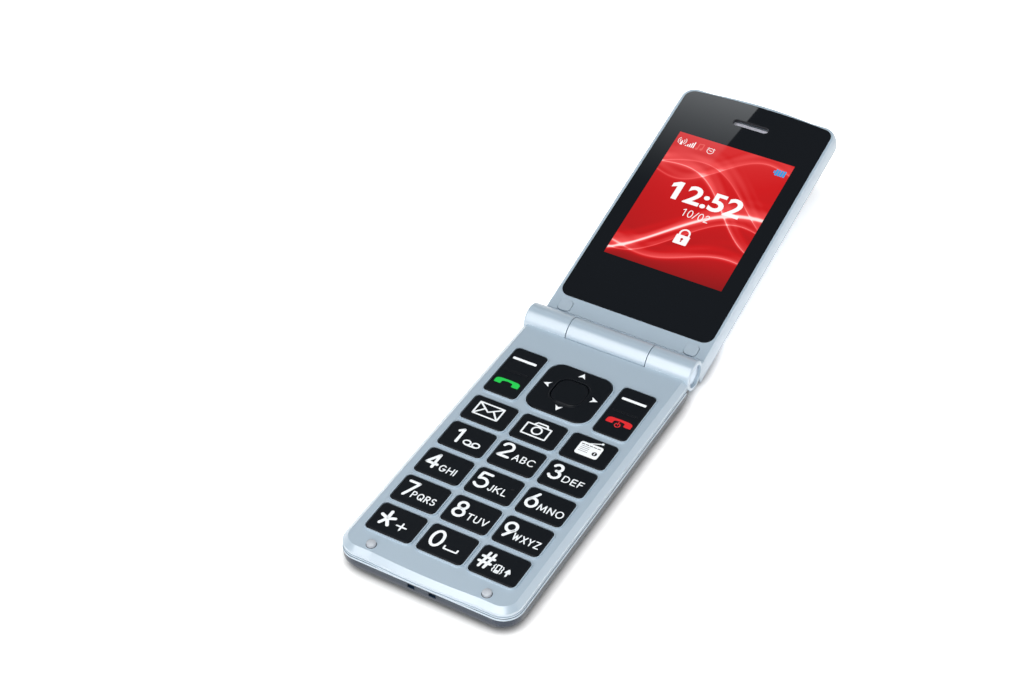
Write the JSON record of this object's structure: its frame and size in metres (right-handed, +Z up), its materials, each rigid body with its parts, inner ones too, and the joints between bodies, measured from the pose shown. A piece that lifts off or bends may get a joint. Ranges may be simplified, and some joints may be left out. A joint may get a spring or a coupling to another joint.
{
  "type": "flip phone",
  "caption": "Open clamshell mobile phone with a keypad base, a navigation pad, a barrel hinge and a lid with a framed display.",
  "frame": {"origin": "middle of the base's flat underside, halfway between the front end and the hinge axis", "axes": "+X to the user's right, +Y from the keypad's front end to the hinge, +Z up out of the keypad"},
  "size_m": [0.0511, 0.1951, 0.029],
  "materials": {
    "silver_paint": "satin silver paint",
    "graphite_plastic": "satin",
    "lid_back_plastic": "satin",
    "circuit_board": "solder mask",
    "steel": "plain",
    "silicone": "matt",
    "gold_contact": "plated",
    "battery_can": "matt wrap",
    "black_plastic": "matt",
    "rubber_pad": "matt",
    "barrel_metal": "satin",
    "key_black": "satin",
    "window_glass": "gloss",
    "display_panel": "gloss",
    "grille_mesh": "fine mesh",
    "lens_glass": "gloss",
    "silver_plugs": "satin",
    "polyimide": "satin"
  },
  "bodies": {
    "base": {"upper_housing": "silver_paint", "lower_housing": "graphite_plastic", "main_board": "circuit_board", "dome_sheet": "steel", "keypad_membrane": "silicone", "battery_contacts": "gold_contact", "battery": "battery_can", "sim_holder": "steel", "loudspeaker": "black_plastic", "microphone": "steel", "vibration_motor": "steel", "usb_port": "steel", "bumper_pads": "rubber_pad", "housing_screws": "steel", "hinge_caps": "barrel_metal"},
    "lid": {"lid_frame": "silver_paint", "lid_cover": "lid_back_plastic", "display_window": "window_glass", "display_module": "display_panel", "earpiece": "black_plastic", "earpiece_grille": "grille_mesh", "lid_board": "circuit_board", "camera_module": "black_plastic", "camera_lens": "lens_glass", "screw_plugs": "silver_plugs", "lid_screws": "steel", "hinge_cartridge": "steel", "hinge_tube": "steel", "hinge_flex": "polyimide", "lid_magnet": "steel"},
    "battery_cover_body": {"battery_cover": "graphite_plastic"},
    "volume_key_body": {"volume_key": "silver_paint"},
    "left_rocker_body": {"left_rocker": "key_black"},
    "right_rocker_body": {"right_rocker": "key_black"},
    "dpad_pivot_body": {"dpad_pivot": "silicone"},
    "dpad_body": {"dpad": "key_black"},
    "ok_key_body": {"ok_key": "key_black"},
    "key_message_body": {"key_message": "key_black"},
    "key_camera_body": {"key_camera": "key_black"},
    "key_radio_body": {"key_radio": "key_black"},
    "key_1_body": {"key_1": "key_black"},
    "key_2_body": {"key_2": "key_black"},
    "key_3_body": {"key_3": "key_black"},
    "key_4_body": {"key_4": "key_black"},
    "key_5_body": {"key_5": "key_black"},
    "key_6_body": {"key_6": "key_black"},
    "key_7_body": {"key_7": "key_black"},
    "key_8_body": {"key_8": "key_black"},
    "key_9_body": {"key_9": "key_black"},
    "key_star_body": {"key_star": "key_black"},
    "key_0_body": {"key_0": "key_black"},
    "key_hash_body": {"key_hash": "key_black"}
  },
  "joints": [
    {"name": "lid_hinge", "type": "hinge", "parent": "base", "child": "lid", "pos_m": [0, 0.04922, 0.00775], "axis": [1, 0, 0], "range_deg": [0, 165.9]},
    {"name": "battery_cover_lift", "type": "slide", "parent": "base", "child": "battery_cover_body", "axis": [0, 0, -1], "range_m": [0, 0.02]},
    {"name": "volume_rock", "type": "hinge", "parent": "base", "child": "volume_key_body", "pos_m": [-0.0241, 0.005, 0.0033], "axis": [0, 0, 1], "range_deg": [-1.2, 1.2], "stiffness_Nm_per_rad": 0.02},
    {"name": "left_rocker_tilt", "type": "hinge", "parent": "base", "child": "left_rocker_body", "pos_m": [-0.01637, 0.02553, 0.0073], "axis": [1, 0, 0], "range_deg": [-0.8, 0.8], "stiffness_Nm_per_rad": 0.15},
    {"name": "right_rocker_tilt", "type": "hinge", "parent": "base", "child": "right_rocker_body", "pos_m": [0.01637, 0.02553, 0.0073], "axis": [1, 0, 0], "range_deg": [-0.8, 0.8], "stiffness_Nm_per_rad": 0.15},
    {"name": "dpad_tilt_fore_aft", "type": "hinge", "parent": "base", "child": "dpad_pivot_body", "pos_m": [0, 0.02553, 0.0073], "axis": [1, 0, 0], "range_deg": [-0.8, 0.8], "stiffness_Nm_per_rad": 0.15},
    {"name": "dpad_tilt_side", "type": "hinge", "parent": "dpad_pivot_body", "child": "dpad_body", "pos_m": [0, 0.02553, 0.0073], "axis": [0, 1, 0], "range_deg": [-0.8, 0.8], "stiffness_Nm_per_rad": 0.15},
    {"name": "ok_key_press", "type": "slide", "parent": "base", "child": "ok_key_body", "axis": [0, 0, -1], "range_m": [0, 0.0003], "stiffness_N_per_m": 600, "springref_m": -0.0005},
    {"name": "key_message_press", "type": "slide", "parent": "base", "child": "key_message_body", "axis": [0, 0, -1], "range_m": [0, 0.0003], "stiffness_N_per_m": 600, "springref_m": -0.0005},
    {"name": "key_camera_press", "type": "slide", "parent": "base", "child": "key_camera_body", "axis": [0, 0, -1], "range_m": [0, 0.0003], "stiffness_N_per_m": 600, "springref_m": -0.0005},
    {"name": "key_radio_press", "type": "slide", "parent": "base", "child": "key_radio_body", "axis": [0, 0, -1], "range_m": [0, 0.0003], "stiffness_N_per_m": 600, "springref_m": -0.0005},
    {"name": "key_1_press", "type": "slide", "parent": "base", "child": "key_1_body", "axis": [0, 0, -1], "range_m": [0, 0.0003], "stiffness_N_per_m": 600, "springref_m": -0.0005},
    {"name": "key_2_press", "type": "slide", "parent": "base", "child": "key_2_body", "axis": [0, 0, -1], "range_m": [0, 0.0003], "stiffness_N_per_m": 600, "springref_m": -0.0005},
    {"name": "key_3_press", "type": "slide", "parent": "base", "child": "key_3_body", "axis": [0, 0, -1], "range_m": [0, 0.0003], "stiffness_N_per_m": 600, "springref_m": -0.0005},
    {"name": "key_4_press", "type": "slide", "parent": "base", "child": "key_4_body", "axis": [0, 0, -1], "range_m": [0, 0.0003], "stiffness_N_per_m": 600, "springref_m": -0.0005},
    {"name": "key_5_press", "type": "slide", "parent": "base", "child": "key_5_body", "axis": [0, 0, -1], "range_m": [0, 0.0003], "stiffness_N_per_m": 600, "springref_m": -0.0005},
    {"name": "key_6_press", "type": "slide", "parent": "base", "child": "key_6_body", "axis": [0, 0, -1], "range_m": [0, 0.0003], "stiffness_N_per_m": 600, "springref_m": -0.0005},
    {"name": "key_7_press", "type": "slide", "parent": "base", "child": "key_7_body", "axis": [0, 0, -1], "range_m": [0, 0.0003], "stiffness_N_per_m": 600, "springref_m": -0.0005},
    {"name": "key_8_press", "type": "slide", "parent": "base", "child": "key_8_body", "axis": [0, 0, -1], "range_m": [0, 0.0003], "stiffness_N_per_m": 600, "springref_m": -0.0005},
    {"name": "key_9_press", "type": "slide", "parent": "base", "child": "key_9_body", "axis": [0, 0, -1], "range_m": [0, 0.0003], "stiffness_N_per_m": 600, "springref_m": -0.0005},
    {"name": "key_star_press", "type": "slide", "parent": "base", "child": "key_star_body", "axis": [0, 0, -1], "range_m": [0, 0.0003], "stiffness_N_per_m": 600, "springref_m": -0.0005},
    {"name": "key_0_press", "type": "slide", "parent": "base", "child": "key_0_body", "axis": [0, 0, -1], "range_m": [0, 0.0003], "stiffness_N_per_m": 600, "springref_m": -0.0005},
    {"name": "key_hash_press", "type": "slide", "parent": "base", "child": "key_hash_body", "axis": [0, 0, -1], "range_m": [0, 0.0003], "stiffness_N_per_m": 600, "springref_m": -0.0005}
  ]
}
